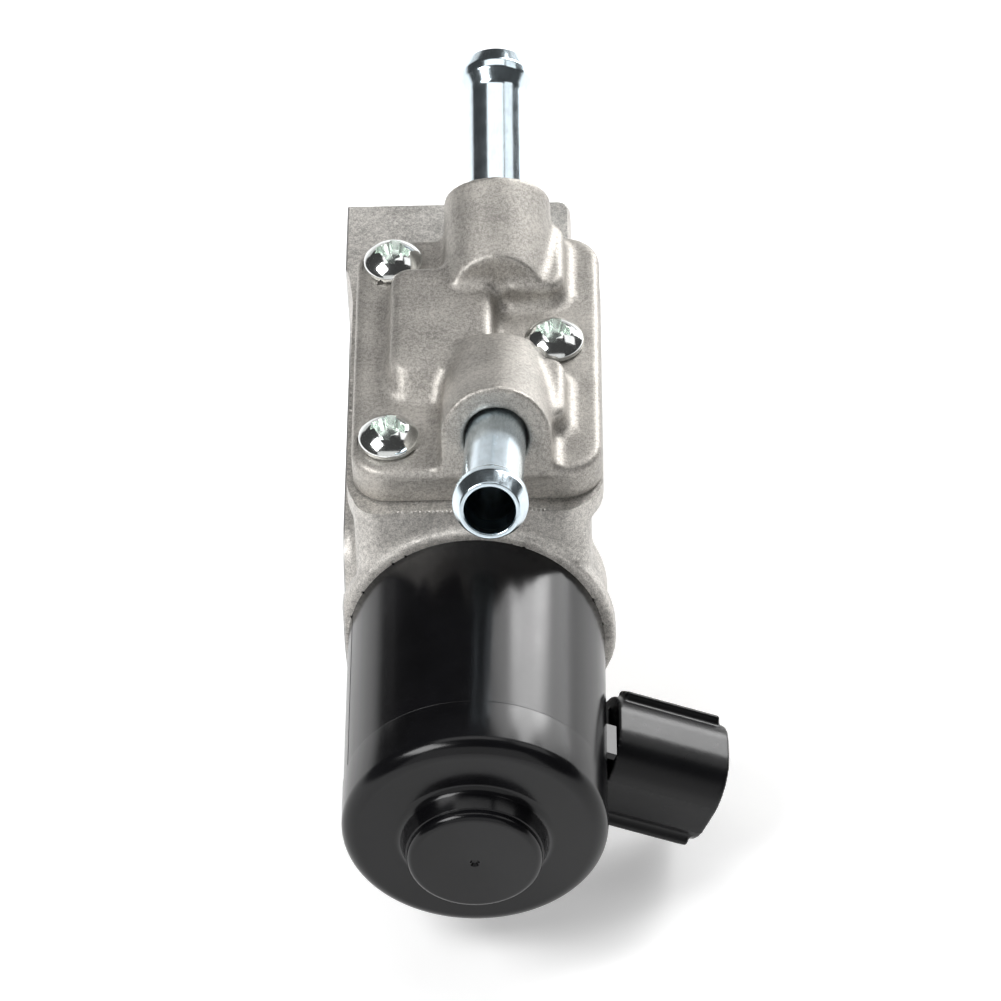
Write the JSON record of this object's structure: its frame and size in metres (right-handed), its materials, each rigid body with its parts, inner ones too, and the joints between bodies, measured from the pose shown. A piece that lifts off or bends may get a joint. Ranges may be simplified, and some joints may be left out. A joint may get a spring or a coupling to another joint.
{
  "type": "idle air control valve",
  "caption": "Solenoid idle air control valve: cast body with side mounting face and air ports, coolant cover with angled hose pipes, black solenoid with moulded connector.",
  "frame": {"origin": "on the side mounting face, midway between the centres of the air ports", "axes": "-X is the mounting face's outward normal, +Y runs from the solenoid to the valve's closed end, +Z points to the coolant cover"},
  "size_m": [0.0591, 0.1331, 0.0755],
  "materials": {
    "cast_body": "as-cast, fine shot-blast grain",
    "cast_cover": "as-cast, shot-blast, darker",
    "zinc_plate": "bright zinc plate",
    "black_paint": "gloss black paint on steel",
    "black_moulding": "black moulded, satin gloss",
    "soft_iron": "turned, oiled",
    "ground_steel": "ground",
    "turned_aluminium": "turned",
    "bearing_bronze": "sintered bronze",
    "copper_wire": "enamelled copper winding",
    "seal_rubber": "black rubber",
    "gasket_sheet": "rubber-coated sheet",
    "natural_moulding": "natural nylon",
    "tinned_brass": "tin-plated brass"
  },
  "bodies": {
    "housing": {"valve_body": "cast_body", "coolant_cover": "cast_cover", "cover_gasket": "gasket_sheet", "cover_screws": "zinc_plate", "front_coolant_pipe": "zinc_plate", "rear_coolant_pipe": "zinc_plate", "solenoid_case": "black_paint", "end_cap": "black_paint", "cap_seal": "seal_rubber", "case_seal": "seal_rubber", "pole_core": "soft_iron", "coil_bobbin": "natural_moulding", "coil_winding": "copper_wire", "yoke_plate": "soft_iron", "bearing_holder": "turned_aluminium", "front_bush": "bearing_bronze", "middle_bush": "bearing_bronze", "rear_bush": "bearing_bronze", "shaft_seal": "seal_rubber", "valve_seat": "turned_aluminium", "rear_plug": "turned_aluminium", "return_spring": "ground_steel", "port_o_rings": "seal_rubber", "connector_shell": "black_moulding", "connector_terminals": "tinned_brass"},
    "armature": {"plunger": "soft_iron", "valve_shaft": "ground_steel", "valve_poppet": "turned_aluminium", "valve_clip": "ground_steel"}
  },
  "joints": [
    {"name": "valve_slide", "type": "slide", "parent": "housing", "child": "armature", "axis": [0, -1, 0], "range_m": [0, 0.004], "stiffness_N_per_m": 600, "springref_m": -0.004, "deforming": ["return_spring"]}
  ]
}
